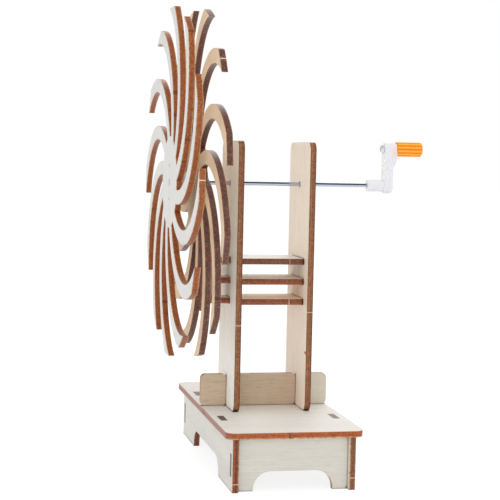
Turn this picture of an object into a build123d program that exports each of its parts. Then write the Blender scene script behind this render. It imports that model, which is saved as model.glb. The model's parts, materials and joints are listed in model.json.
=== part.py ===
from build123d import *
import os

# A hand-cranked stand with two spiral-arm wheels, cut from plywood sheet. Millimetres.
# X runs along the axle towards the crank, Y runs along the base, Z is up.
# The origin is on the table, under the middle of the base.

# Sheet and fits
PLY = 3.0  # thickness of the plywood sheet
SLOT_FIT = 0.1  # slack on each side of a tab in its slot
GLUE_FIT = 0.02  # radial slack of a glued or pressed round joint
RUN_FIT = 0.06  # radial clearance of a shaft that turns in its hole
FREE_FIT = 0.5  # radial clearance where the axle only passes through a board
END_PLAY = 0.2  # gap between faces that turn past each other

# Base box
BASE_WIDTH = 66.0
BASE_LENGTH = 146.0
BASE_HEIGHT = 28.5  # table to the top face of the top plate
BASE_CORNER_R = 4.5
SIDE_OVERHANG = 3.4  # top plate past the side walls' outer faces
END_OVERHANG = 2.5  # top plate past the side walls' ends
END_WALL_SETBACK = 2.8  # side walls' ends to the end walls' outer faces
ARCH_HEIGHT = 9.3
ARCH_R = 8.5
SIDE_ARCH_LENGTH = 71.0
END_ARCH_LENGTH = 38.4
TOP_TAB_LENGTH = 12.0  # tabs of the side walls, through the top plate
TOP_TAB_SPACING = 70.0
END_TAB_HEIGHT = 10.6  # tabs of the end walls, through the side walls
END_TAB_Z = 12.3

# Uprights and cross panel
UPRIGHT_GAP = 33.4  # between the uprights' inner faces
UPRIGHT_WIDTH = 42.8
UPRIGHT_HEIGHT = 135.2  # above the top plate
UPRIGHT_CORNER_R = 4.5
FOOT_TAB_LENGTH = 9.0
FOOT_TAB_SPACING = 22.0
PANEL_HEIGHT = 16.4
PANEL_CORNER_R = 2.5
PANEL_MIDDLE_TAB = 24.0
PANEL_SIDE_TAB = 6.0
PANEL_SIDE_TAB_INSET = 3.0  # panel's ends to its side tabs

# Slats and what rides on their long tabs
SLAT_COUNT = 3
SLAT_Z = 81.6  # underside of the lowest slat
SLAT_PITCH = 10.2
SLAT_WIDTH = 27.6
SLAT_CORNER_R = 1.5
SLAT_TAB_WIDTH = 12.0
LOCK_GAP = 7.0  # left upright to the slat lock
LOCK_WIDTH = 18.0
LOCK_MARGIN = 6.5  # slat lock above the top slat
LOCK_CORNER_R = 4.5
BRACKET_GAP = 2.7  # slat lock to the wheel bracket
BRACKET_WIDTH = 16.0
BRACKET_MARGIN = 3.6  # wheel bracket below the lowest slat

# Axle and wheels
AXLE_DROP = 21.4  # uprights' tops to the axle
AXLE_R = 1.0
WHEEL_R = 87.3
WHEEL_GAP = 9.4  # between the two wheels' near faces
ARM_COUNT = 12
ARM_WIDTH = 7.0
ARM_ARC_R = 50.0  # each arm is one arc that leaves the axle radially
HUB_R = 23.0
FRONT_PHASE = 0.5  # degrees from +Y to the first arm's start
REAR_PHASE = 12.0
PEG_R = 0.65
PEG_SPACING = 16.8
FLANGE_R = 11.5
FLANGE_THICKNESS = 2.0
FLANGE_BOSS_R = 3.0
FLANGE_BOSS_LENGTH = 5.0

# Crank
CRANK_REACH = 32.9  # right upright to the crank's hub tube
TUBE_LENGTH = 8.6
TUBE_R = 3.1
BORE_DEPTH = 11.5
CRANK_THROW = 19.0
LOW_THICKNESS = 4.2  # of the arm round the axle
LOW_R = 3.95  # half width of the arm round the axle
LOW_CORNER_R = 1.6
HIGH_THICKNESS = 6.4  # of the arm round the grip
HIGH_R = 3.2  # half width of the arm round the grip
HIGH_CORNER_R = 0.6
STEP_LOW = 8.6  # start of the outward step, above the axle
STEP_HIGH = 13.6  # end of the step
STEP_R = 2.4
GRIP_R = 3.8
GRIP_LENGTH = 13.5
GRIP_FLUTES = 12
FLUTE_DEPTH = 0.5
FLUTE_WIDTH = 1.1
FLUTE_FLOOR = 0.6  # width of a flute's flat bottom
GRIP_CHAMFER = 0.7
SCREW_R = 1.0
SCREW_DEPTH = 9.0  # into the grip
SCREW_HEAD_R = 2.1
SCREW_HEAD_HEIGHT = 1.5
SCREW_HEAD_BEVEL = 0.6
RECESS_WIDTH = 0.5
RECESS_LENGTH = 2.6
RECESS_DEPTH = 0.8

# Places that several pieces share
TOP_UNDERSIDE = BASE_HEIGHT - PLY
WALL_X = BASE_WIDTH / 2 - SIDE_OVERHANG  # side walls' outer faces
WALL_END_Y = BASE_LENGTH / 2 - END_OVERHANG
END_WALL_Y = WALL_END_Y - END_WALL_SETBACK  # end walls' outer faces
UPRIGHT_TOP = BASE_HEIGHT + UPRIGHT_HEIGHT
AXLE_Z = UPRIGHT_TOP - AXLE_DROP
PANEL_TABS = BASE_WIDTH - 2 * PANEL_SIDE_TAB_INSET - PANEL_SIDE_TAB  # spacing of the side tabs
UPRIGHT_IN = UPRIGHT_GAP / 2
UPRIGHT_OUT = UPRIGHT_IN + PLY
SLAT_LEVELS = [SLAT_Z + SLAT_PITCH * level for level in range(SLAT_COUNT)]
TOP_SLAT_Z = SLAT_LEVELS[-1] + PLY
LOCK_X = -UPRIGHT_OUT - LOCK_GAP - PLY  # left faces of the YZ boards
BRACKET_X = LOCK_X - BRACKET_GAP - PLY
REAR_WHEEL_X = BRACKET_X - PLY
FRONT_WHEEL_X = REAR_WHEEL_X - WHEEL_GAP - PLY
TUBE_X = UPRIGHT_OUT + CRANK_REACH
ARM_X = TUBE_X + TUBE_LENGTH  # inner face of the crank's arm
GRIP_X = ARM_X + HIGH_THICKNESS + END_PLAY
GRIP_Z = AXLE_Z + CRANK_THROW


def span(low_u, high_u, low_v, high_v):
    """A rectangle between two corners."""
    middle = Pos((low_u + high_u) / 2, (low_v + high_v) / 2)
    return middle * Rectangle(high_u - low_u, high_v - low_v)


def rounded(low_u, high_u, low_v, high_v, radius):
    """A rectangle between two corners, with rounded corners."""
    width = high_u - low_u
    height = high_v - low_v
    limit = 0.49 * min(width, height)
    middle = Pos((low_u + high_u) / 2, (low_v + high_v) / 2)
    return middle * RectangleRounded(width, height, min(radius, limit))


def slot(width, height):
    """The slot for a tab of this size, with its slack."""
    return Rectangle(width + 2 * SLOT_FIT, height + 2 * SLOT_FIT)


def pair(spacing):
    """Two places, one on each side of the middle."""
    return [-spacing / 2, spacing / 2]


def yz_board(outline, left_x, thickness=PLY):
    """An outline in (Y, Z) made into a board whose left face is at left_x."""
    face = Plane(origin=(left_x, 0, 0), x_dir=(0, 1, 0), z_dir=(1, 0, 0))
    return face * extrude(outline, thickness)


def xz_board(outline, near_y):
    """An outline in (X, Z) made into a board whose near face is at near_y."""
    face = Plane(origin=(0, near_y + PLY, 0), x_dir=(1, 0, 0), z_dir=(0, -1, 0))
    return face * extrude(outline, PLY)


def xy_board(outline, low_z):
    """An outline in (X, Y) made into a board whose underside is at low_z."""
    return Pos(0, 0, low_z) * extrude(outline, PLY)


def rod(radius, start_x, end_x, z):
    """A round bar along X."""
    face = Plane(origin=(start_x, 0, z), x_dir=(0, 1, 0), z_dir=(1, 0, 0))
    return face * extrude(Circle(radius), end_x - start_x)


def arch(length):
    """The opening between a wall's two feet, half of it below the table."""
    return rounded(-length / 2, length / 2, -ARCH_HEIGHT, ARCH_HEIGHT, ARCH_R)


def side_wall(left_x):
    wall = span(-WALL_END_Y, WALL_END_Y, 0, TOP_UNDERSIDE) - arch(SIDE_ARCH_LENGTH)
    for y in pair(TOP_TAB_SPACING):
        wall += Pos(y, BASE_HEIGHT - PLY / 2) * Rectangle(TOP_TAB_LENGTH, PLY)
    for y in pair(2 * END_WALL_Y - PLY):
        wall -= Pos(y, END_TAB_Z) * slot(PLY, END_TAB_HEIGHT)
    return yz_board(wall, left_x)


def end_wall(near_y):
    inside = WALL_X - PLY
    wall = span(-inside, inside, 0, TOP_UNDERSIDE) - arch(END_ARCH_LENGTH)
    for x in pair(2 * WALL_X - PLY):
        wall += Pos(x, END_TAB_Z) * Rectangle(PLY, END_TAB_HEIGHT)
    return xz_board(wall, near_y)


def base_top():
    plate = RectangleRounded(BASE_WIDTH, BASE_LENGTH, BASE_CORNER_R)
    for x in pair(2 * WALL_X - PLY):
        for y in pair(TOP_TAB_SPACING):
            plate -= Pos(x, y) * slot(PLY, TOP_TAB_LENGTH)
    for x in pair(UPRIGHT_GAP + PLY):
        for y in pair(FOOT_TAB_SPACING):
            plate -= Pos(x, y) * slot(PLY, FOOT_TAB_LENGTH)
    plate -= slot(PANEL_MIDDLE_TAB, PLY)
    for x in pair(PANEL_TABS):
        plate -= Pos(x, 0) * slot(PANEL_SIDE_TAB, PLY)
    return xy_board(plate, TOP_UNDERSIDE)


def upright(left_x):
    half = UPRIGHT_WIDTH / 2
    board = rounded(-half, half, BASE_HEIGHT, UPRIGHT_TOP, UPRIGHT_CORNER_R)
    for y in pair(FOOT_TAB_SPACING):
        tab = span(y - FOOT_TAB_LENGTH / 2, y + FOOT_TAB_LENGTH / 2, TOP_UNDERSIDE, BASE_HEIGHT)
        board += tab
    lap_top = BASE_HEIGHT + PANEL_HEIGHT / 2 + SLOT_FIT
    lap_half = PLY / 2 + SLOT_FIT
    board -= span(-lap_half, lap_half, BASE_HEIGHT, lap_top)
    for level in SLAT_LEVELS:
        board -= Pos(0, level + PLY / 2) * slot(SLAT_TAB_WIDTH, PLY)
    board -= Pos(0, AXLE_Z) * Circle(AXLE_R + RUN_FIT)
    return yz_board(board, left_x)


def cross_panel():
    """The low board between the uprights: a strip below and three rounded blocks above."""
    half = BASE_WIDTH / 2
    top = BASE_HEIGHT + PANEL_HEIGHT
    lap = BASE_HEIGHT + PANEL_HEIGHT / 2
    lap_in = UPRIGHT_IN - SLOT_FIT
    lap_out = UPRIGHT_OUT + SLOT_FIT
    panel = rounded(-half, half, BASE_HEIGHT, top, PANEL_CORNER_R)
    panel -= span(-half, half, lap, top)
    for low_x, high_x in [(-half, -lap_out), (-lap_in, lap_in), (lap_out, half)]:
        panel += rounded(low_x, high_x, BASE_HEIGHT, top, PANEL_CORNER_R)
    tab_z = BASE_HEIGHT - PLY / 2
    panel += Pos(0, tab_z) * Rectangle(PANEL_MIDDLE_TAB, PLY)
    for x in pair(PANEL_TABS):
        panel += Pos(x, tab_z) * Rectangle(PANEL_SIDE_TAB, PLY)
    return xz_board(panel, -PLY / 2)


def slat(level):
    """A shelf with shoulders: a short tab on the right, a long one out to the rear wheel."""
    half = SLAT_WIDTH / 2
    tab_half = SLAT_TAB_WIDTH / 2
    outline = rounded(-UPRIGHT_IN, UPRIGHT_IN, -half, half, SLAT_CORNER_R)
    outline += span(BRACKET_X, UPRIGHT_OUT, -tab_half, tab_half)
    return xy_board(outline, level)


def slat_lock():
    """A small board that stands on the lowest slat's tab and is threaded on the others."""
    half = LOCK_WIDTH / 2
    low_z = SLAT_Z + PLY
    board = rounded(-half, half, low_z, TOP_SLAT_Z + LOCK_MARGIN, LOCK_CORNER_R)
    for level in SLAT_LEVELS[1:]:
        board -= Pos(0, level + PLY / 2) * slot(SLAT_TAB_WIDTH, PLY)
    return yz_board(board, LOCK_X)


def wheel_bracket():
    """The strip glued to the rear wheel's hub, from the axle down to the slats' tabs."""
    half = BRACKET_WIDTH / 2
    strip = span(-half, half, SLAT_Z - BRACKET_MARGIN, AXLE_Z)
    strip += Pos(0, AXLE_Z) * Circle(half)
    for level in SLAT_LEVELS:
        strip -= Pos(0, level + PLY / 2) * slot(SLAT_TAB_WIDTH, PLY)
    strip -= Pos(0, AXLE_Z) * Circle(AXLE_R + FREE_FIT)
    return yz_board(strip, BRACKET_X)


def spiral_arm():
    """One arm: an arc that starts at the axle along +u, curls clockwise and ends on the rim."""
    ring = Circle(ARM_ARC_R + ARM_WIDTH / 2) - Circle(ARM_ARC_R - ARM_WIDTH / 2)
    arc = Pos(0, -ARM_ARC_R) * ring
    low = -2 * ARM_ARC_R - ARM_WIDTH
    return arc & span(0, WHEEL_R, low, ARM_WIDTH) & Circle(WHEEL_R)


def spiral_wheel(phase):
    """The hub disc and its arms."""
    arm = spiral_arm()
    wheel = Circle(HUB_R)
    for number in range(ARM_COUNT):
        wheel += Rot(0, 0, phase + number * 360 / ARM_COUNT) * arm
    return wheel


def front_wheel():
    wheel = spiral_wheel(FRONT_PHASE) - Circle(AXLE_R + GLUE_FIT)
    for z in pair(PEG_SPACING):
        wheel -= Pos(0, z) * Circle(PEG_R + GLUE_FIT)
    return yz_board(Pos(0, AXLE_Z) * wheel, FRONT_WHEEL_X)


def rear_wheel():
    """The same wheel turned over, so that its arms curl the other way."""
    wheel = mirror(spiral_wheel(REAR_PHASE), about=Plane.YZ)
    wheel -= Circle(AXLE_R + FREE_FIT)
    return yz_board(Pos(0, AXLE_Z) * wheel, REAR_WHEEL_X)


def front_hub():
    """A moulded flange on the axle, with two pegs into the front wheel."""
    start = FRONT_WHEEL_X + PLY
    flange_end = start + FLANGE_THICKNESS
    hub = rod(FLANGE_R, start, flange_end, AXLE_Z)
    hub += rod(FLANGE_BOSS_R, flange_end, flange_end + FLANGE_BOSS_LENGTH, AXLE_Z)
    for offset in pair(PEG_SPACING):
        hub += rod(PEG_R, FRONT_WHEEL_X, start, AXLE_Z + offset)
    bore_end = flange_end + FLANGE_BOSS_LENGTH
    return hub - rod(AXLE_R + GLUE_FIT, start, bore_end, AXLE_Z)


def axle():
    return rod(AXLE_R, FRONT_WHEEL_X, TUBE_X + BORE_DEPTH, AXLE_Z)


def crank_side():
    """The arm seen along Y, in (X, Z): it steps outwards on its way up to the grip."""
    low = AXLE_Z - LOW_R
    high = GRIP_Z + HIGH_R
    low_x = ARM_X + LOW_THICKNESS
    high_x = ARM_X + HIGH_THICKNESS
    step = [(low_x, AXLE_Z + STEP_LOW), (high_x, AXLE_Z + STEP_HIGH)]
    side = make_face(Polyline((ARM_X, low), (low_x, low), *step, (high_x, high), (ARM_X, high), close=True))
    corners = side.vertices().sort_by(Axis.Y)
    side = fillet(corners.filter_by_position(Axis.X, low_x, high_x)[1:3], STEP_R)
    side = fillet(side.vertices().sort_by(Axis.Y)[:2].sort_by(Axis.X)[-1:], LOW_CORNER_R)
    return fillet(side.vertices().sort_by(Axis.Y)[-2:].sort_by(Axis.X)[-1:], HIGH_CORNER_R)


def crank_arm():
    ends = [Pos(0, AXLE_Z) * Circle(LOW_R), Pos(0, GRIP_Z) * Circle(HIGH_R)]
    front = make_hull(ends[0].edges() + ends[1].edges())
    body = yz_board(front, ARM_X, HIGH_THICKNESS)
    side_face = Plane(origin=(0, LOW_R, 0), x_dir=(1, 0, 0), z_dir=(0, -1, 0))
    body &= side_face * extrude(crank_side(), 2 * LOW_R)
    body += rod(TUBE_R, TUBE_X, ARM_X + LOW_THICKNESS / 2, AXLE_Z)
    body -= rod(AXLE_R + GLUE_FIT, TUBE_X, TUBE_X + BORE_DEPTH, AXLE_Z)
    return body - rod(SCREW_R + RUN_FIT, ARM_X, GRIP_X, GRIP_Z)


def flute():
    """The section of one flute, wider at its mouth: its sides slope on past the rim."""
    low_u = GRIP_R - FLUTE_DEPTH
    high_u = GRIP_R + FLUTE_DEPTH
    low_v = FLUTE_FLOOR / 2
    high_v = FLUTE_WIDTH - low_v
    return make_face(Polyline((low_u, -low_v), (high_u, -high_v), (high_u, high_v), (low_u, low_v), close=True))


def crank_grip():
    """A fluted grip with a bevelled outer end, on the screw."""
    section = Circle(GRIP_R)
    for number in range(GRIP_FLUTES):
        section -= Rot(0, 0, number * 360 / GRIP_FLUTES) * flute()
    envelope = extrude(Circle(GRIP_R), GRIP_LENGTH)
    outer_rim = envelope.edges().filter_by(GeomType.CIRCLE).sort_by(Axis.Z)[-1:]
    grip = extrude(section, GRIP_LENGTH) & chamfer(outer_rim, GRIP_CHAMFER)
    lie_down = Plane(origin=(GRIP_X, 0, GRIP_Z), x_dir=(0, 1, 0), z_dir=(1, 0, 0))
    return lie_down * grip - rod(SCREW_R + GLUE_FIT, GRIP_X, GRIP_X + SCREW_DEPTH, GRIP_Z)


def crank_screw():
    """A screw with a bevelled head and a cross recess, through the arm into the grip."""
    seat = ARM_X - END_PLAY
    head = rod(SCREW_HEAD_R, seat - SCREW_HEAD_HEIGHT, seat, GRIP_Z)
    rim = head.edges().filter_by(GeomType.CIRCLE).sort_by(Axis.X)[:1]
    head = chamfer(rim, SCREW_HEAD_BEVEL)
    recess_x = seat - SCREW_HEAD_HEIGHT + RECESS_DEPTH / 2
    for turn in (0, 90):
        bar = Box(RECESS_DEPTH, RECESS_WIDTH, RECESS_LENGTH)
        head -= Pos(recess_x, 0, GRIP_Z) * Rot(turn, 0, 0) * bar
    return head + rod(SCREW_R, seat, GRIP_X + SCREW_DEPTH, GRIP_Z)


NODES = {
    "base_top": base_top(),
    "base_wall_left": side_wall(-WALL_X),
    "base_wall_right": side_wall(WALL_X - PLY),
    "base_wall_front": end_wall(-END_WALL_Y),
    "base_wall_rear": end_wall(END_WALL_Y - PLY),
    "upright_left": upright(-UPRIGHT_OUT),
    "upright_right": upright(UPRIGHT_IN),
    "cross_panel": cross_panel(),
    "slat_bottom": slat(SLAT_LEVELS[0]),
    "slat_middle": slat(SLAT_LEVELS[1]),
    "slat_top": slat(SLAT_LEVELS[2]),
    "slat_lock": slat_lock(),
    "wheel_bracket": wheel_bracket(),
    "rear_wheel": rear_wheel(),
    "front_wheel": front_wheel(),
    "front_hub": front_hub(),
    "axle": axle(),
    "crank_arm": crank_arm(),
    "crank_grip": crank_grip(),
    "crank_screw": crank_screw(),
}

os.makedirs("parts", exist_ok=True)
for name, shape in NODES.items():
    export_step(shape, f"parts/{name}.step")
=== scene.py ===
import json
import random
from math import cos, radians, sin

import bmesh
import bpy
from mathutils import Matrix, Vector
from mathutils.bvhtree import BVHTree


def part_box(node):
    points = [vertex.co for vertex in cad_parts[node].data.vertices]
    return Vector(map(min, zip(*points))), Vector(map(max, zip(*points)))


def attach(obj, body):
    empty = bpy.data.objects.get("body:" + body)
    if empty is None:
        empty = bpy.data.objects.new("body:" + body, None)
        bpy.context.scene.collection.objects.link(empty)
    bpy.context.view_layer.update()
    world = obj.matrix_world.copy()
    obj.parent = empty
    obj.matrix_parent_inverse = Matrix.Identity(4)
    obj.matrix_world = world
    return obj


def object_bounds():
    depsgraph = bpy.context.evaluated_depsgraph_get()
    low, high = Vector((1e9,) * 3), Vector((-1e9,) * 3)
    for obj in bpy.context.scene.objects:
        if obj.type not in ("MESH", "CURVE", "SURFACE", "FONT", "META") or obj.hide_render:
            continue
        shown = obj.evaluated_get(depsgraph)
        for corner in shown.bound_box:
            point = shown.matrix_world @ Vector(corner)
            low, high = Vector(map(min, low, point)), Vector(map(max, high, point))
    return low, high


# The looks of a hand-cranked plywood stand with two spiral-arm wheels, in metres.
# X runs along the axle towards the crank, Y runs along the base, Z is up, and the table is at z = 0.

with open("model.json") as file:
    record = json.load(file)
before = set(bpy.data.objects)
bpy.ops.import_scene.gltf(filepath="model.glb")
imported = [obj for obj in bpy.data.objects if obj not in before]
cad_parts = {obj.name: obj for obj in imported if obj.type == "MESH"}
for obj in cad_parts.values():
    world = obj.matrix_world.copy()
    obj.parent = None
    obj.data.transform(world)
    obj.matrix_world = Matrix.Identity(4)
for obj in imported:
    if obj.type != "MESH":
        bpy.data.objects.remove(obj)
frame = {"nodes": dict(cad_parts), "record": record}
cad_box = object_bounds()
nodes = frame["nodes"]

MM = 0.001
AXES = "XYZ"
PLY = 3 * MM  # thickness of the plywood sheet

axle_low, axle_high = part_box("axle")
grip_low, grip_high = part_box("crank_grip")
AXLE_Z = (axle_low.z + axle_high.z) / 2
GRIP_X = grip_low.x  # the grip's inner end
GRIP_Z = (grip_low.z + grip_high.z) / 2
GRIP_R = (grip_high.z - grip_low.z) / 2
WHEEL_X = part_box("front_wheel")[0].x  # the front wheel's outer face
PLATE_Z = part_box("base_top")[0].z  # the top plate's lower face
WALL_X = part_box("base_wall_right")[1].x  # how far out the side walls' outer faces are


class Board:
    """How a plywood board looks."""

    def __init__(self, thin, grain, grain_share, face, edge):
        self.thin = thin  # axis across the sheet
        self.grain = grain  # axis along the grain
        self.grain_share = grain_share  # how strongly the grain shows
        self.face = face  # colour of the veneer
        self.edge = edge  # colours of the burnt edge, across the sheet


class Mottle:
    """A noise, and how it mixes a second tone into a colour."""

    def __init__(self, across, along=None, step=0, detail=2.0, roughness=0.5,
                 low=0.0, high=1.0, share=1.0, tone=1.0):
        self.across = across  # cells in a metre
        self.along = along  # the same along one axis, where that differs
        self.step = step  # more cells across on each next board, so that no two are alike
        self.detail = detail
        self.roughness = roughness
        self.low = low  # the second tone starts where the noise is this high
        self.high = high  # and has its whole share here
        self.share = share
        self.tone = tone  # the second tone, times the colour that it is made from


def seen(red, green, blue):
    """A colour as it is seen on a screen, 0 to 255, made linear by the sRGB curve."""
    channels = [level / 255 for level in (red, green, blue)]
    return tuple(c / 12.92 if c <= 0.04045 else ((c + 0.055) / 1.055) ** 2.4 for c in channels)


def shade(colour, factor):
    """A colour made lighter or darker, at most white."""
    return tuple(min(1.0, channel * factor) for channel in colour)


def layers(*stops):
    """An edge's colours, each with its place from the low side of the sheet, 0, to the high side, 1."""
    return [(place, seen(*colour)) for place, *colour in stops]


# ---------------------------------------------------------------- colours and sizes

# Camera
CAMERA_PLACE = (-0.156265, -0.695835, 0.156289)
CAMERA_YAW = 11.982  # degrees, to the right of +Y
CAMERA_DIP = 3.858  # degrees, below level
CAMERA_ROLL = 1.24  # degrees
CAMERA_LENS = 100.48  # millimetres, on the sensor's width
SENSOR_WIDTH = 36  # millimetres

# Light
SKY_LEVEL = 0.82  # of the world, on every matte surface
SEEN_WHITE = 1.0  # of the world, as the camera, gloss and glass see it
SEEN_OVERHEAD = 0.13  # of its dark part above, as only gloss sees it
OVERHEAD = (0.05, 0.13)  # from this height of a direction to this one, the world darkens
LAMP_SIZE = 0.9
LAMPS = {  # place, watts, whether gloss shows it
    "key": ((-0.5, -1.3, 0.6), 3.0, True),
    "back": ((0.4, 1.2, 0.7), 5.0, True),
    "top": ((0.2, -0.1, 1.4), 3.0, False),
    "low": ((-1.2, -0.6, 0.25), 1.5, True),
}
FLOOR_HALF = 6.0
FLOOR_BOUNCE = (0.90, 0.90, 0.90)  # its colour, as it lights the object
FLOOR_SHADED = (0.24, 0.24, 0.24)  # the part of its white that a shadow takes away
FLOOR_GLOW = 0.85  # the part that stays

# Veneer faces
PALE = seen(228, 225, 218)
WHITE_PALE = seen(227, 226, 223)
# Painted light: near white, to stand in for light on the left upright's face behind the wheels
COOL_PALE_PAINTED_LIGHT = seen(248, 247, 241)
# The right upright's cream veneer, with painted light: made lighter to stand in for light on its shaded
# face
CREAM_PAINTED_LIGHT = seen(252, 239, 225)
TAN = seen(236, 206, 171)
GREY = seen(222, 218, 207)
BUFF = seen(203, 181, 156)
# Painted light: the lower slats' veneer made lighter and warmer, for the light and warm bounce between
# the slats
WARM_PAINTED_LIGHT = seen(248, 226, 202)
BAND_DARK = 0.97  # of the face's colour, between its lighter bands
BANDS = Mottle(across=95, along=7, step=6, detail=3, low=0.30, high=0.70, tone=1.03)
CLOUDS = Mottle(across=34, along=12, step=1, low=0.40, high=0.70, share=0.25, tone=0.90)
LINES = Mottle(across=1900, along=60, detail=3, roughness=0.6, low=0.5, high=0.7, share=0.6, tone=0.74)
PORES = Mottle(across=2600, along=150, detail=1, low=0.58, high=0.74, share=0.55, tone=0.52)
LINE_HEIGHT = 0.5  # of the pores' height

# Burnt edges
WHEEL_EDGE = layers(
    (0.00, 226, 188, 145), (0.10, 200, 148, 98), (0.18, 158, 84, 36), (0.50, 160, 84, 42),
    (0.80, 156, 82, 35), (0.90, 196, 133, 77), (1.00, 224, 186, 140),
)
DARK_EDGE = layers(
    (0.00, 200, 148, 112), (0.10, 136, 84, 64), (0.20, 110, 67, 56), (0.50, 100, 66, 60),
    (0.82, 114, 69, 55), (0.92, 150, 98, 74), (1.00, 196, 148, 114),
)
STRIPED_EDGE = layers(
    (0.00, 110, 77, 50), (0.08, 104, 69, 43), (0.16, 166, 109, 62), (0.40, 178, 120, 70),
    (0.50, 130, 77, 42), (0.56, 156, 99, 60), (0.78, 156, 97, 62), (0.86, 112, 54, 35),
    (1.00, 106, 48, 31),
)
PLATE_EDGE = layers(
    (0.00, 228, 186, 140), (0.16, 220, 170, 120), (0.24, 172, 82, 35), (0.60, 176, 84, 35),
    (0.90, 184, 99, 47), (1.00, 208, 150, 104),
)
WALL_EDGE = layers(
    (0.00, 214, 166, 122), (0.12, 164, 90, 45), (0.38, 160, 78, 36), (0.50, 112, 50, 33),
    (0.70, 112, 54, 33), (0.86, 176, 101, 50), (1.00, 230, 194, 150),
)
BROWN_EDGE = layers(
    (0.00, 238, 208, 168), (0.14, 214, 164, 116), (0.24, 140, 86, 50), (0.50, 128, 82, 52),
    (0.80, 134, 84, 53), (0.91, 176, 118, 75), (1.00, 218, 180, 138),
)
SLAT_EDGE = layers(
    (0.00, 190, 114, 53), (0.16, 164, 86, 40), (0.50, 140, 73, 42), (0.85, 124, 62, 36),
    (1.00, 150, 94, 60),
)
TOP_SLAT_EDGE = layers(
    (0.00, 170, 103, 60), (0.16, 136, 78, 48), (0.50, 122, 71, 48), (0.85, 108, 58, 38),
    (1.00, 140, 86, 57),
)
GLUE_LINES = Mottle(across=50, along=2400, low=0.45, high=0.65, share=0.45, tone=0.50)
BLOTCHES = Mottle(across=300, step=10, detail=3, roughness=0.6, low=0.48, high=0.66, share=0.4, tone=1.4)
FLECKS = Mottle(across=1150, step=20, roughness=0.8, low=0.48, high=0.62, share=0.75, tone=0.42)
SPARKS = Mottle(across=1000, step=15, roughness=0.8, low=0.52, high=0.64, share=0.30)
KERF = Mottle(across=1500, along=120, low=0.50, high=0.75, share=0.35, tone=0.60)
STOPS = Mottle(across=260, along=0, step=3, detail=1, low=0.69, high=0.75, share=0.65, tone=0.28)
SPARK = seen(200, 150, 104)  # flecks of wood that show through the char

# Marks on the boards, with painted light and shade among them. Each pair of numbers says where a mark
# starts, and where it is full.
SCORCH = seen(196, 152, 106)  # the rim of every face
SCORCH_REACH = 0.55 * MM
SCORCH_TURN = (0.99, 0.80)  # how alike the rounded and the flat normal are
SCORCH_SHARE = 0.85
CHAR_AND_CORNER_SHADE = seen(84, 52, 38)  # painted shade in corners between pieces, and char round the axle's holes
CORNER_SHADE_REACH = 1.8 * MM
CORNER_SHADE_SHARE = 0.88
CORNER_SHADE_OPEN = (0.72, 0.42)  # how open the place is
RAYS = 8  # samples for the scorched rim and for the painted shade in the corners
RING = (1.9 * MM, 1.3 * MM)  # the scorched ring, from the axle's centre
RING_SHARE = 0.85
KNOT_NODE = "upright_right"
KNOT = seen(186, 112, 48)
KNOT_PLACE = (16.7 * MM, -20.2 * MM, 58.0 * MM)
KNOT_REACH = (1.0 * MM, 2.4 * MM, 0.8 * MM)  # half its size along each axis
KNOT_RIM = Mottle(across=1800)
KNOT_FADE = (1.7, 1.2)  # in reaches, with the rim's noise added
TAB_END = seen(48, 32, 26)  # the burnt ends of the walls' tabs in their slots
TAB_IN_PLATE = (2.4 * MM, 2.8 * MM)  # above the plate's lower face
TAB_IN_WALL = (-0.8 * MM, -0.4 * MM)  # out from the side walls' outer faces
TAB_SHARE = 0.9
PLATE_SIDE_SHEEN = seen(104, 88, 88)  # painted sheen: the plate's edge that faces the wheels, greyer
PLATE_SIDE_SHEEN_NORMAL = (-0.5, -0.9)  # X of the normal
PLATE_SIDE_SHEEN_SHARE = 0.35
PANEL_PAINTED_LIGHT = seen(217, 213, 201)  # painted light: the cross panel's paler end on the crank's side
PANEL_LIT_SPAN = (15 * MM, 22 * MM)  # along X
PANEL_LIGHT_SHARE = 0.65

# The wood's surface
FACE_NORMAL = 0.7  # a surface is a face where its normal has this much of the thin axis
EDGE_NORMAL = 0.5  # and a face of the mesh is on a cut edge where it has less than this
FACE_ROUGHNESS = 0.60
EDGE_ROUGHNESS = 0.42
WOOD_SPECULAR = 0.4
WOOD_SHEEN = 0.05
SHEEN_ROUGHNESS = 0.4
SHEEN_TINT = (0.95, 0.82, 0.80)
WOOD_BUMP = (0.30, 0.12 * MM)  # strength and depth, as for each bump below

# Steel and plastic, with painted light and shade on the crank and the grip, and the marks' pairs of
# numbers as above
AXLE_STEEL = seen(192, 200, 218)
AXLE_ROUGHNESS = 0.10
SCREW_STEEL = seen(240, 241, 244)
SCREW_ROUGHNESS = 0.40
SCREW_METALLIC = 0.45
SCRATCHES = Mottle(across=3000, along=60, low=0.3, high=0.7, tone=0.88)
SCRATCH_ROUGHER = 1.5  # times the steel's roughness, where the noise is high
SCRATCH_BUMP = (0.06, 0.05 * MM)
MILKY_LOW = seen(229, 231, 237)
MILKY_HIGH = seen(235, 236, 241)
MILKY = Mottle(across=420, low=0.3, high=0.7)
MILKY_ROUGHNESS = 0.50
MILKY_SPECULAR = 0.3
MILKY_DEPTH_SHARE = 0.10
MILKY_DEPTH = 1.0 * MM
MILKY_DEPTH_COLOUR = (1.0, 0.95, 0.9)
MILKY_BUMP = (0.04, 0.1 * MM)
CRANK_BACK_PAINTED_LIGHT = seen(250, 251, 254)  # painted light on the crank's sides that look towards the frame
CRANK_LIT_NORMAL = (-0.3, -0.8)  # X of the normal
GLOW = seen(255, 205, 170)  # the grip's warm light in the crank
GLOW_RISE = (-7 * MM, -2 * MM)  # up from the grip's centre
GLOW_REACH = 4.5 * MM  # from the grip's inner end, into the crank
GLOW_SHARE = 0.55
PEG_END = seen(112, 84, 70)  # the scorched ends of the flange's pegs in the wheel's face
PEG_DEPTH = (0.6 * MM, 0.3 * MM)  # below that face
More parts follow.
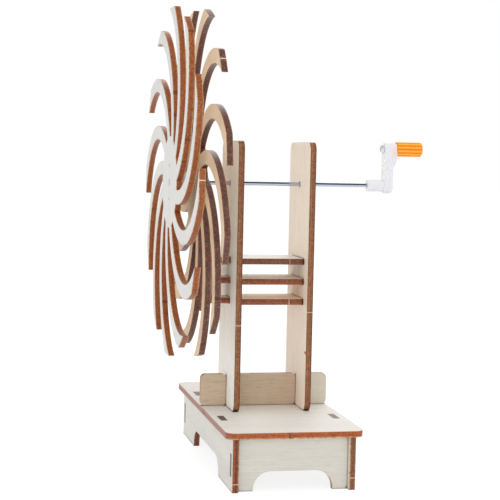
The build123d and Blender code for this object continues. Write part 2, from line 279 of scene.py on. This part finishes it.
# Painted shade and light on the grip: darker orange in its grooves, lighter on its ribs
GROOVE_PAINTED_SHADE = seen(255, 132, 28)
RIB_PAINTED_LIGHT = seen(255, 182, 54)
GRIP_DEPTH = (-0.50 * MM, -0.10 * MM)  # of the groove and the rib, out from the grip's rim
GRIP_CLOUD = seen(255, 160, 50)
GRIP_CLOUDS = Mottle(across=260, detail=1, low=0.35, high=0.65, share=0.08)
GRIP_ROUGHNESS = 0.42
GRIP_SPECULAR = 0.35
GRIP_BUMP = (0.01, 0.1 * MM)

BOARDS = {
    "front_wheel": Board("X", "Z", 0.5, WHITE_PALE, WHEEL_EDGE),
    "rear_wheel": Board("X", "Z", 0.7, TAN, DARK_EDGE),
    "wheel_bracket": Board("X", "Z", 1.0, GREY, STRIPED_EDGE),
    "slat_lock": Board("X", "Z", 1.0, PALE, STRIPED_EDGE),
    "upright_left": Board("X", "Z", 0.6, COOL_PALE_PAINTED_LIGHT, STRIPED_EDGE),
    "upright_right": Board("X", "Z", 0.6, CREAM_PAINTED_LIGHT, STRIPED_EDGE),
    "base_top": Board("Z", "X", 0.5, PALE, PLATE_EDGE),
    "base_wall_left": Board("X", "Y", 0.7, PALE, WALL_EDGE),
    "base_wall_right": Board("X", "Y", 0.7, PALE, BROWN_EDGE),
    "base_wall_front": Board("Y", "X", 0.55, GREY, BROWN_EDGE),
    "base_wall_rear": Board("Y", "X", 0.7, GREY, BROWN_EDGE),
    "cross_panel": Board("Y", "X", 1.0, BUFF, BROWN_EDGE),
    "slat_top": Board("Z", "X", 0.5, PALE, TOP_SLAT_EDGE),
    "slat_middle": Board("Z", "X", 0.6, WARM_PAINTED_LIGHT, SLAT_EDGE),
    "slat_bottom": Board("Z", "X", 0.6, WARM_PAINTED_LIGHT, SLAT_EDGE),
}

# Where a small bridge held a board in its sheet: a place on its edge and the bridge's width, in
# millimetres. The pale ones broke off clean and the dark ones are burnt.
PALE_NIBS = [
    ("upright_left", (-18.2, -21.4, 72.0), 0.42),
    ("upright_left", (-18.2, 21.4, 118.0), 0.42),
    ("upright_right", (18.2, -21.4, 78.6), 0.42),
    ("upright_right", (18.2, 21.4, 96.0), 0.42),
    ("base_wall_left", (-28.1, -70.5, 4.0), 0.42),
    ("base_wall_left", (-28.1, 70.5, 8.0), 0.42),
    ("base_wall_right", (28.1, -70.5, 5.7), 0.42),
    ("base_wall_right", (28.1, 70.5, 12.0), 0.42),
    ("slat_top", (9.2, -13.8, 103.5), 0.22),
    ("slat_bottom", (9.2, -13.8, 83.1), 0.40),
    ("slat_top", (-8.0, 13.8, 103.5), 0.35),
    ("slat_bottom", (-3.0, 13.8, 83.1), 0.35),
    ("slat_lock", (-28.2, -9.0, 98.0), 0.40),
    ("front_wheel", (-49.3, -87.3, 145.0), 0.60),
    ("front_wheel", (-49.3, 61.0, 196.0), 0.42),
    ("front_wheel", (-49.3, 30.0, 64.0), 0.42),
    ("rear_wheel", (-36.9, -70.0, 204.8), 0.80),
    ("rear_wheel", (-36.9, 66.0, 190.0), 0.42),
    ("rear_wheel", (-36.9, -20.0, 60.0), 0.42),
]
DARK_NIBS = [
    ("base_top", (-3.1, -73.0, 27.0), 0.90),
    ("base_top", (-33.0, -10.8, 27.0), 1.00),
    ("base_top", (33.0, 24.0, 27.0), 0.90),
    ("base_top", (6.0, 73.0, 27.0), 0.90),
    ("slat_middle", (-10.6, -13.8, 93.3), 0.45),
    ("slat_middle", (6.0, 13.8, 93.3), 0.45),
    ("cross_panel", (-6.0, 0.0, 44.9), 0.60),
]
NIB_RISE = 0.10 * MM  # the most that a nib stands proud of the edge
NIB_ROUGH = 0.6  # how much of the rise is chance
NIB_SINK = 0.02 * MM  # how deep its rim lies in the edge
NIB_STEPS = (4, 14)  # cells along the edge and across the sheet
NIB_PALE = (seen(214, 178, 146), seen(240, 220, 196))  # between its fibres and on them
NIB_DARK = (seen(92, 46, 28), seen(140, 72, 40))
NIB_FIBRES = Mottle(across=3500, low=0.35, high=0.65)
NIB_ROUGHNESS = 0.7
NIB_BUMP = (0.3, 0.1 * MM)


# ---------------------------------------------------------------- shader helpers


class Tree:
    """A node tree with short calls for the nodes that this script uses."""

    def __init__(self, tree):
        self.tree = tree

    def node(self, kind, **inputs):
        """A new node, with some of its inputs linked or set."""
        made = self.tree.nodes.new(kind)
        for name, value in inputs.items():
            self.feed(made.inputs[name.replace("_", " ")], value)
        return made

    def feed(self, socket, value):
        """Link a socket, or set its own value."""
        if isinstance(value, bpy.types.NodeSocket):
            self.tree.links.new(value, socket)
        elif socket.type == "RGBA":
            socket.default_value = (*value, 1)
        else:
            socket.default_value = value

    def math(self, operation, a, b=0.0):
        """A Math node's result."""
        made = self.node("ShaderNodeMath")
        made.operation = operation
        self.feed(made.inputs[0], a)
        self.feed(made.inputs[1], b)
        return made.outputs[0]

    def vector_math(self, operation, a, b=(0.0, 0.0, 0.0)):
        """A Vector Math node's outputs: Vector, or Value for a length or a dot product."""
        made = self.node("ShaderNodeVectorMath")
        made.operation = operation
        self.feed(made.inputs[0], a)
        self.feed(made.inputs[1], b)
        return made.outputs

    def split(self, vector):
        """A vector's X, Y and Z."""
        return self.node("ShaderNodeSeparateXYZ", Vector=vector).outputs

    def span(self, value, low, high, to_low=0.0, to_high=1.0):
        """A value from low to high, mapped to another range and kept in it."""
        made = self.node("ShaderNodeMapRange")
        made.clamp = True
        for socket, item in zip(made.inputs, (value, low, high, to_low, to_high)):
            self.feed(socket, item)
        return made.outputs[0]

    def ramp(self, value, stops):
        """A colour from stops with their places from 0 to 1."""
        made = self.node("ShaderNodeValToRGB", Fac=value)
        elements = made.color_ramp.elements
        while len(elements) < len(stops):
            elements.new(0.5)
        for element, (place, colour) in zip(elements, stops):
            element.position = place
            element.color = (*colour, 1)
        return made.outputs["Color"]

    def mix(self, share, a, b):
        """Colour a, with a share of colour b; the sockets are the node's colour ones."""
        made = self.node("ShaderNodeMix")
        made.data_type = "RGBA"
        self.feed(made.inputs[0], share)
        self.feed(made.inputs[6], a)
        self.feed(made.inputs[7], b)
        return made.outputs[2]


class Shader(Tree):
    """A material's tree, with patterns that are fixed to the solid."""

    def __init__(self, name):
        self.material = bpy.data.materials.new(name)
        self.material.use_nodes = True
        super().__init__(self.material.node_tree)
        self.surface = self.tree.nodes["Principled BSDF"]
        coordinates = self.node("ShaderNodeTexCoord").outputs
        self.place = coordinates["Object"]
        self.at = self.split(self.place)
        self.normal = self.split(coordinates["Normal"])

    def set(self, **inputs):
        """Link or set inputs of the surface."""
        for name, value in inputs.items():
            self.feed(self.surface.inputs[name.replace("_", " ")], value)

    def noise(self, mottle, axis="X", number=0):
        """A mottle's noise on one board; where it has an along, that runs on the axis."""
        scale = [mottle.across + mottle.step * number] * 3
        if mottle.along is not None:
            scale[AXES.index(axis)] = mottle.along
        vector = self.vector_math("MULTIPLY", self.place, scale)["Vector"]
        texture = self.node("ShaderNodeTexNoise", Vector=vector, Scale=1.0)
        self.feed(texture.inputs["Detail"], mottle.detail)
        self.feed(texture.inputs["Roughness"], mottle.roughness)
        return texture.outputs[0]

    def tint(self, colour, noise, mottle, tone, strength=1.0):
        """The colour, with the tone mixed in where the mottle's noise is high."""
        share = self.span(noise, mottle.low, mottle.high, 0, mottle.share * strength)
        return self.mix(share, colour, tone)

    def bump(self, height, strength, distance):
        """A normal from a height."""
        made = self.node("ShaderNodeBump", Height=height, Strength=strength, Distance=distance)
        return made.outputs["Normal"]

    def radius_about(self, height):
        """The distance from the line along X at this height and y = 0."""
        up = self.math("SUBTRACT", self.at["Z"], height)
        squares = self.math("ADD", self.math("POWER", self.at["Y"], 2.0), self.math("POWER", up, 2.0))
        return self.math("SQRT", squares)

    def edge_nearness(self, radius):
        """1 beside a sharp edge of the solid, 0 further than the radius from one."""
        rounded = self.node("ShaderNodeBevel", Radius=radius)
        rounded.samples = RAYS
        flat = self.node("ShaderNodeNewGeometry").outputs["Normal"]
        alike = self.vector_math("DOT_PRODUCT", rounded.outputs["Normal"], flat)["Value"]
        return self.span(alike, *SCORCH_TURN)

    def spot(self, place, reach, rim, fade):
        """1 at a place of the solid, fading to 0 about the reach away, where its rim is ragged."""
        offset = self.vector_math("SUBTRACT", self.place, place)["Vector"]
        gap = self.vector_math("LENGTH", self.vector_math("DIVIDE", offset, reach)["Vector"])["Value"]
        return self.span(self.math("ADD", gap, self.noise(rim)), *fade)

    def corner_shade(self, distance):
        """The mask of the painted corner shade: 1 in the corner where two pieces meet, 0 in the open."""
        near = self.node("ShaderNodeAmbientOcclusion", Distance=distance)
        near.samples = RAYS
        return self.span(near.outputs["AO"], *CORNER_SHADE_OPEN)


# ---------------------------------------------------------------- wood


def veneer(s, board, number):
    """Bare veneer: soft bands and clouds, and fine dark lines and pores along the grain."""
    noises = {mottle: s.noise(mottle, board.grain, number) for mottle in (BANDS, CLOUDS, LINES, PORES)}
    strengths = {BANDS: 1, CLOUDS: 1, LINES: board.grain_share, PORES: board.grain_share}
    colour = shade(board.face, BAND_DARK)
    for mottle, noise in noises.items():
        colour = s.tint(colour, noise, mottle, shade(board.face, mottle.tone), strengths[mottle])
    height = s.math("ADD", s.math("MULTIPLY", noises[LINES], LINE_HEIGHT), noises[PORES])
    return colour, height


def burnt_edge(s, node, board, number):
    """The cut edge: layers along the sheet, mottled char, and darker bands where the cut slowed."""
    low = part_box(node)[0][AXES.index(board.thin)]
    across_sheet = s.math("DIVIDE", s.math("SUBTRACT", s.at[board.thin], low), PLY)
    colour = s.ramp(across_sheet, board.edge)
    core = board.edge[len(board.edge) // 2][1]
    noises = {}
    for mottle in (GLUE_LINES, BLOTCHES, FLECKS, SPARKS, KERF, STOPS):
        noises[mottle] = s.noise(mottle, board.thin, number)
        tone = SPARK if mottle is SPARKS else shade(core, mottle.tone)
        colour = s.tint(colour, noises[mottle], mottle, tone)
    return colour, s.math("ADD", noises[FLECKS], noises[KERF])


def face_marks_and_painted_light(s, node, board, colour):
    """The scorched rim, the knot, painted light on the cross panel's end on the crank's side, and the
    char round the axle's hole.
    """
    rim = s.math("MULTIPLY", s.edge_nearness(SCORCH_REACH), SCORCH_SHARE)
    colour = s.mix(rim, colour, SCORCH)
    if node == KNOT_NODE:
        colour = s.mix(s.spot(KNOT_PLACE, KNOT_REACH, KNOT_RIM, KNOT_FADE), colour, KNOT)
    if node == "cross_panel":
        # Painted light: the cross panel grows paler towards its end on the crank's side
        colour = s.mix(s.span(s.at["X"], *PANEL_LIT_SPAN, 0, PANEL_LIGHT_SHARE), colour, PANEL_PAINTED_LIGHT)
    if board.thin == "X":
        colour = s.mix(s.span(s.radius_about(AXLE_Z), *RING, 0, RING_SHARE), colour, CHAR_AND_CORNER_SHADE)
    return colour


def edge_marks_and_painted_sheen(s, node, board, colour):
    """The walls' tab ends in the plate and in the side walls, and painted sheen that greys the plate's
    edge towards the wheels.
    """
    if node.startswith("base_wall"):
        above = s.math("SUBTRACT", s.at["Z"], PLATE_Z)
        colour = s.mix(s.span(above, *TAB_IN_PLATE, 0, TAB_SHARE), colour, TAB_END)
        if board.thin == "Y":
            outward = s.math("SUBTRACT", s.math("ABSOLUTE", s.at["X"]), WALL_X)
            colour = s.mix(s.span(outward, *TAB_IN_WALL, 0, TAB_SHARE), colour, TAB_END)
    if node == "base_top":
        # Painted sheen: the plate's edge that faces the wheels is made greyer
        sheen_towards_wheels = s.span(s.normal["X"], *PLATE_SIDE_SHEEN_NORMAL, 0, PLATE_SIDE_SHEEN_SHARE)
        colour = s.mix(sheen_towards_wheels, colour, PLATE_SIDE_SHEEN)
    return colour


def ply(name, node, number, board):
    """Plywood cut by laser: veneer faces and layered burnt edges, with painted shade in the corners
    where pieces meet.
    """
    s = Shader(name)
    is_face = s.math("GREATER_THAN", s.math("ABSOLUTE", s.normal[board.thin]), FACE_NORMAL)
    face_colour, grain_height = veneer(s, board, number)
    edge_colour, char_height = burnt_edge(s, node, board, number)
    face_colour = face_marks_and_painted_light(s, node, board, face_colour)
    edge_colour = edge_marks_and_painted_sheen(s, node, board, edge_colour)
    colour = s.mix(is_face, edge_colour, face_colour)
    # Painted shade: corners where pieces meet are darkened towards char brown
    colour = s.mix(s.math("MULTIPLY", s.corner_shade(CORNER_SHADE_REACH), CORNER_SHADE_SHARE), colour, CHAR_AND_CORNER_SHADE)
    relief = s.mix(is_face, char_height, grain_height)
    roughness = s.span(is_face, 0, 1, EDGE_ROUGHNESS, FACE_ROUGHNESS)
    s.set(Base_Color=colour, Roughness=roughness, Specular_IOR_Level=WOOD_SPECULAR)
    s.set(Sheen_Weight=WOOD_SHEEN, Sheen_Roughness=SHEEN_ROUGHNESS, Sheen_Tint=SHEEN_TINT)
    s.set(Normal=s.bump(relief, *WOOD_BUMP))
    return s.material


def nib_wood(name, dark, light):
    """Torn wood of a broken bridge, light on its fibres."""
    s = Shader(name)
    fibres = s.noise(NIB_FIBRES)
    s.set(Base_Color=s.tint(dark, fibres, NIB_FIBRES, light), Roughness=NIB_ROUGHNESS)
    s.set(Normal=s.bump(fibres, *NIB_BUMP))
    return s.material


# ---------------------------------------------------------------- steel and plastic


def steel(name, colour, roughness, metallic, scratch_axis):
    """Drawn or plated steel with fine lines along one axis; dull plating is less metallic."""
    s = Shader(name)
    scratches = s.noise(SCRATCHES, scratch_axis)
    base = s.tint(shade(colour, SCRATCHES.tone), scratches, SCRATCHES, colour)
    rough = s.span(scratches, SCRATCHES.low, SCRATCHES.high, roughness, roughness * SCRATCH_ROUGHER)
    s.set(Base_Color=base, Metallic=metallic, Roughness=rough)
    s.set(Normal=s.bump(scratches, *SCRATCH_BUMP))
    return s.material


def beside_grip(s, colour):
    """The crank's white: painted lighter on its sides towards the frame, and warm from the grip's glow.
    """
    # Painted light: the sides that face the frame are made paler than the rest
    colour = s.mix(s.span(s.normal["X"], *CRANK_LIT_NORMAL), colour, CRANK_BACK_PAINTED_LIGHT)
    low, high = GLOW_RISE
    height = s.span(s.at["Z"], GRIP_Z + low, GRIP_Z + high)
    outward = s.span(s.at["X"], GRIP_X - GLOW_REACH, GRIP_X, 0, GLOW_SHARE)
    return s.mix(s.math("MULTIPLY", height, outward), colour, GLOW)


def scorched_pegs(s, colour):
    """The flange's white, with scorched peg ends."""
    start, full = PEG_DEPTH
    return s.mix(s.span(s.at["X"], WHEEL_X + start, WHEEL_X + full), colour, PEG_END)


def milky_plastic(name, marked):
    """White moulded plastic that lets a little light in, with one piece's own marks."""
    s = Shader(name)
    mottle = s.noise(MILKY)
    colour = marked(s, s.tint(MILKY_LOW, mottle, MILKY, MILKY_HIGH))
    s.set(Base_Color=colour, Roughness=MILKY_ROUGHNESS, Specular_IOR_Level=MILKY_SPECULAR)
    s.set(Subsurface_Weight=MILKY_DEPTH_SHARE, Subsurface_Scale=MILKY_DEPTH)
    s.set(Subsurface_Radius=MILKY_DEPTH_COLOUR)
    s.set(Normal=s.bump(mottle, *MILKY_BUMP))
    return s.material


def orange_plastic(name):
    """Satin orange, with painted light on the ribs and painted shade in the grooves."""
    s = Shader(name)
    mottle = s.noise(GRIP_CLOUDS)
    groove, rib = GRIP_DEPTH
    # Painted shade in the grooves and painted light on the ribs, by the distance from the grip's axis
    colour = s.mix(s.span(s.radius_about(GRIP_Z), GRIP_R + groove, GRIP_R + rib), GROOVE_PAINTED_SHADE, RIB_PAINTED_LIGHT)
    colour = s.tint(colour, mottle, GRIP_CLOUDS, GRIP_CLOUD)
    s.set(Base_Color=colour, Roughness=GRIP_ROUGHNESS, Specular_IOR_Level=GRIP_SPECULAR)
    s.set(Normal=s.bump(mottle, *GRIP_BUMP))
    return s.material


def dress(node, material):
    """Give a CAD node its material."""
    slots = nodes[node].data.materials
    slots.clear()
    slots.append(material)


for number, (node, board) in enumerate(BOARDS.items()):
    dress(node, ply(f"ply_{node}", node, number, board))
dress("axle", steel("axle_steel", AXLE_STEEL, AXLE_ROUGHNESS, 1.0, "X"))
dress("crank_screw", steel("screw_steel", SCREW_STEEL, SCREW_ROUGHNESS, SCREW_METALLIC, "Y"))
dress("front_hub", milky_plastic("hub_plastic", scorched_pegs))
dress("crank_arm", milky_plastic("crank_plastic", beside_grip))
dress("crank_grip", orange_plastic("grip_plastic"))


# ---------------------------------------------------------------- pieces


def add_piece(name, built, materials, body):
    """A new piece from a built mesh, on a body."""
    mesh = bpy.data.meshes.new(name)
    built.to_mesh(mesh)
    built.free()
    for material in materials:
        mesh.materials.append(material)
    piece = bpy.data.objects.new(name, mesh)
    bpy.context.scene.collection.objects.link(piece)
    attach(piece, body)


def edge_tree(node, thin):
    """The cut edges of a board, without its two faces."""
    mesh = nodes[node].data
    corners = [vertex.co for vertex in mesh.vertices]
    edges = [face.vertices[:] for face in mesh.polygons if abs(face.normal[thin]) < EDGE_NORMAL]
    return BVHTree.FromPolygons(corners, edges)


def edge_middle(node, place):
    """The middle of the edge beside a place, and the directions out of, along and across it."""
    thin = AXES.index(BOARDS[node].thin)
    at, out, _, _ = edge_tree(node, thin).find_nearest(Vector(place) * MM)
    across = Vector([float(axis == thin) for axis in range(3)])
    low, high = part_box(node)
    at[thin] = (low[thin] + high[thin]) / 2
    return at, out, out.cross(across).normalized(), across


def add_nib(built, node, place, width, tone, chance):
    """A rough low ridge across the sheet's edge, where a bridge broke off."""
    at, out, along, across = edge_middle(node, place)
    steps_along, steps_across = NIB_STEPS
    rows = []
    for i in range(steps_along + 1):
        u = (i / steps_along - 0.5) * width * MM
        row = []
        for j in range(steps_across + 1):
            v = (j / steps_across - 0.5) * PLY
            on_rim = i in (0, steps_along) or j in (0, steps_across)
            rise = -NIB_SINK if on_rim else NIB_RISE * (1 - NIB_ROUGH + NIB_ROUGH * chance.random())
            row.append(built.verts.new(at + along * u + across * v + out * rise))
        rows.append(row)
    for low_row, high_row in zip(rows, rows[1:]):
        for corners in zip(low_row, low_row[1:], high_row[1:], high_row):
            face = built.faces.new(corners)
            face.material_index = tone


def add_nibs():
    """All the nibs of a body in one piece."""
    tones = [nib_wood("nib_pale", *NIB_PALE), nib_wood("nib_dark", *NIB_DARK)]
    bodies = frame["record"]["behaviour"]["bodies"]
    for body in ("stand", "spinner"):
        chance = random.Random(body)
        built = bmesh.new()
        for tone, places in enumerate((PALE_NIBS, DARK_NIBS)):
            for node, place, width in places:
                if node in bodies[body]:
                    add_nib(built, node, place, width, tone, chance)
        bmesh.ops.recalc_face_normals(built, faces=built.faces)
        add_piece(f"bridge_nibs_{body}", built, tones, body)


add_nibs()


# ---------------------------------------------------------------- stage


def seen_ray(t):
    """1 for the rays of the camera, gloss and glass, which see a white studio, and 0 for the rest."""
    rays = t.node("ShaderNodeLightPath").outputs
    camera_or_gloss = t.math("MAXIMUM", rays["Is Camera Ray"], rays["Is Glossy Ray"])
    return t.math("MAXIMUM", camera_or_gloss, rays["Is Transmission Ray"])


def floor():
    """A white table top that keeps a faint shadow of the object."""
    mesh = bpy.data.meshes.new("floor")
    corners = [(x * FLOOR_HALF, y * FLOOR_HALF, 0) for x, y in ((-1, -1), (1, -1), (1, 1), (-1, 1))]
    mesh.from_pydata(corners, [], [(0, 1, 2, 3)])
    plane = bpy.data.objects.new("floor", mesh)
    bpy.context.scene.collection.objects.link(plane)
    s = Shader("floor_white")
    bounce = s.node("ShaderNodeBsdfDiffuse", Color=FLOOR_BOUNCE)
    shaded = s.node("ShaderNodeBsdfDiffuse", Color=FLOOR_SHADED)
    glow = s.node("ShaderNodeEmission", Color=(1, 1, 1), Strength=FLOOR_GLOW)
    white = s.node("ShaderNodeAddShader")
    s.feed(white.inputs[0], shaded.outputs[0])
    s.feed(white.inputs[1], glow.outputs[0])
    pick = s.node("ShaderNodeMixShader", Fac=seen_ray(s))
    s.feed(pick.inputs[1], bounce.outputs[0])
    s.feed(pick.inputs[2], white.outputs[0])
    s.feed(s.tree.nodes["Material Output"].inputs["Surface"], pick.outputs[0])
    mesh.materials.append(s.material)


def sky():
    """An even white world, with a dark part overhead that only gloss sees."""
    world = bpy.data.worlds.new("studio")
    bpy.context.scene.world = world
    world.use_nodes = True
    t = Tree(world.node_tree)
    level = t.span(seen_ray(t), 0, 1, SKY_LEVEL, SEEN_WHITE)
    height = t.split(t.node("ShaderNodeTexCoord").outputs["Generated"])["Z"]
    overhead = t.span(height, *OVERHEAD, 1.0, SEEN_OVERHEAD)
    is_gloss = t.node("ShaderNodeLightPath").outputs["Is Glossy Ray"]
    strength = t.math("MULTIPLY", level, t.span(is_gloss, 0, 1, 1.0, overhead))
    background = t.tree.nodes["Background"]
    t.feed(background.inputs["Color"], (1, 1, 1))
    t.feed(background.inputs["Strength"], strength)


def soft_lamp(name, place, power, in_gloss):
    """A round soft lamp that shines on the object's middle."""
    lamp = bpy.data.lights.new(name, "AREA")
    lamp.shape = "DISK"
    lamp.size = LAMP_SIZE
    lamp.energy = power
    lamp_object = bpy.data.objects.new(name, lamp)
    bpy.context.scene.collection.objects.link(lamp_object)
    aim = Vector((0, 0, (cad_box[0].z + cad_box[1].z) / 2))
    lamp_object.location = place
    lamp_object.visible_glossy = in_gloss
    lamp_object.rotation_euler = (aim - Vector(place)).to_track_quat("-Z", "Y").to_euler()


def camera():
    """The photograph's view."""
    yaw, dip, roll = radians(CAMERA_YAW), radians(CAMERA_DIP), radians(CAMERA_ROLL)
    ahead = Vector((sin(yaw) * cos(dip), cos(yaw) * cos(dip), -sin(dip)))
    level_right = Vector((cos(yaw), -sin(yaw), 0))
    level_up = level_right.cross(ahead)
    right = cos(roll) * level_right + sin(roll) * level_up
    up = cos(roll) * level_up - sin(roll) * level_right
    data = bpy.data.cameras.new("camera")
    data.sensor_width = SENSOR_WIDTH
    data.lens = CAMERA_LENS
    made = bpy.data.objects.new("camera", data)
    bpy.context.scene.collection.objects.link(made)
    turn = Matrix((right, up, -ahead)).transposed().to_4x4()
    made.matrix_world = Matrix.Translation(CAMERA_PLACE) @ turn
    bpy.context.scene.camera = made


floor()
sky()
for name, (place, power, in_gloss) in LAMPS.items():
    soft_lamp(name, place, power, in_gloss)
camera()
bpy.context.scene.view_settings.view_transform = "Standard"
